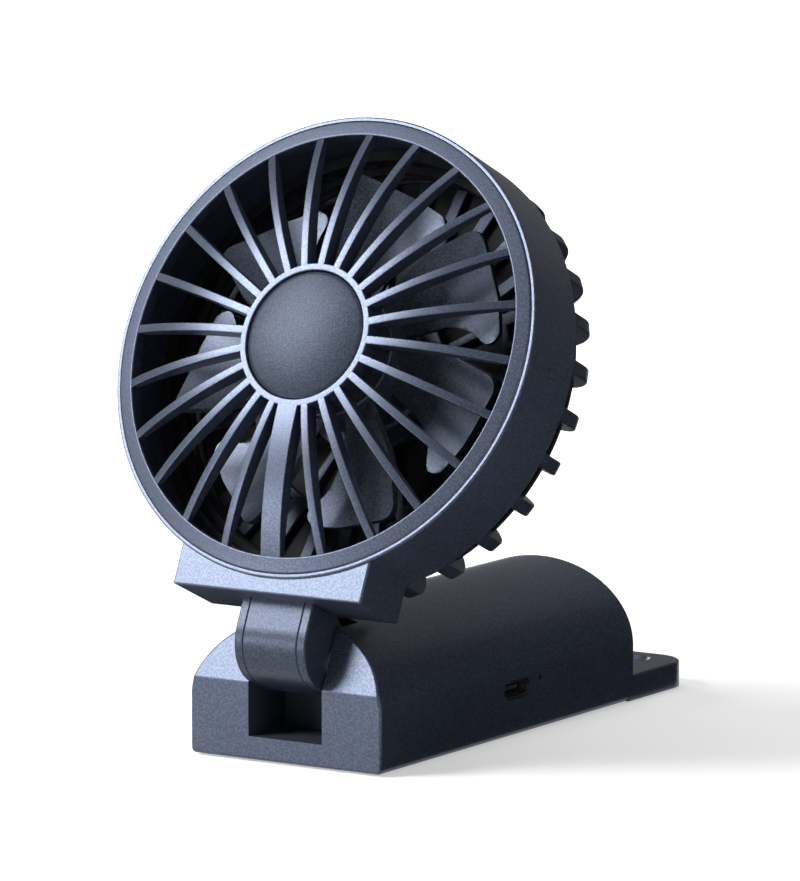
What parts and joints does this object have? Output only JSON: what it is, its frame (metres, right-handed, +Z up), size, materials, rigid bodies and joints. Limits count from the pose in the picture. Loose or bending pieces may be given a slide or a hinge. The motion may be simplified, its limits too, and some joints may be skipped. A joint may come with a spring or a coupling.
{
  "type": "folding desk fan",
  "caption": "Small folding desk fan: a round finned head with a domed guard, on a short hinged arm that folds into an arched rechargeable base with a drilled rear tab.",
  "frame": {"origin": "on the desk, under the middle of the casing, on the underside of its soft pad", "axes": "+Z up from the desk, the front of the fan towards -Y, +X to the right as one faces the front of the fan"},
  "size_m": [0.09, 0.1195, 0.1182],
  "materials": {
    "slate_casing": "satin dark slate paint with a fine grain",
    "hub_disc": "fine-grained slate disc",
    "dark_plastic": "satin black-grey moulding",
    "soft_pad": "matt soft pad",
    "steel": "plain steel",
    "bronze": "sintered bronze",
    "copper_wire": "enamelled copper wire",
    "magnet": "matt dark magnet",
    "cast_plate": "die-cast",
    "cell_can": "shrink-wrapped can",
    "circuit_board": "green solder mask",
    "lamp": "clear lamp",
    "clear_pin": "clear moulding"
  },
  "bodies": {
    "base": {"base_shell": "slate_casing", "base_bottom_plate": "dark_plastic", "anti_slip_pad": "soft_pad", "base_screws": "steel", "battery_cell": "cell_can", "charge_board": "circuit_board", "board_screws": "steel", "usb_c_shell": "steel", "usb_c_tongue": "dark_plastic", "led_lamp": "lamp", "led_light_pipe": "clear_pin", "switch_board": "circuit_board", "tact_switch": "dark_plastic", "hinge_pin": "steel", "hinge_washers": "steel"},
    "button": {"power_button": "slate_casing", "switch_stem": "dark_plastic"},
    "head": {"arm_core": "slate_casing", "arm_cheek_left": "slate_casing", "arm_cheek_right": "slate_casing", "arm_bushes": "bronze", "arm_screws": "steel", "front_shell": "slate_casing", "front_grille": "slate_casing", "hub_cap": "hub_disc", "rear_grille": "slate_casing", "rear_cap": "slate_casing", "motor_plate": "cast_plate", "motor_screws": "steel", "motor_bearings": "bronze", "stator_core": "steel", "stator_coils": "copper_wire", "motor_board": "circuit_board"},
    "rotor": {"impeller": "dark_plastic", "rotor_cup": "steel", "magnet_ring": "magnet", "motor_shaft": "steel", "shaft_clip": "steel"}
  },
  "joints": [
    {"name": "neck_hinge", "type": "hinge", "parent": "base", "child": "head", "pos_m": [0, -0.0391, 0.0184], "axis": [1, 0, 0], "range_deg": [0, 114]},
    {"name": "impeller_spin", "type": "hinge", "parent": "head", "child": "rotor", "pos_m": [0, -0.03331, 0.07763], "axis": [0, -0.9121, 0.4099], "continuous": true},
    {"name": "button_press", "type": "slide", "parent": "base", "child": "button", "axis": [1, 0, 0], "range_m": [0, 0.0006], "stiffness_N_per_m": 2500}
  ]
}
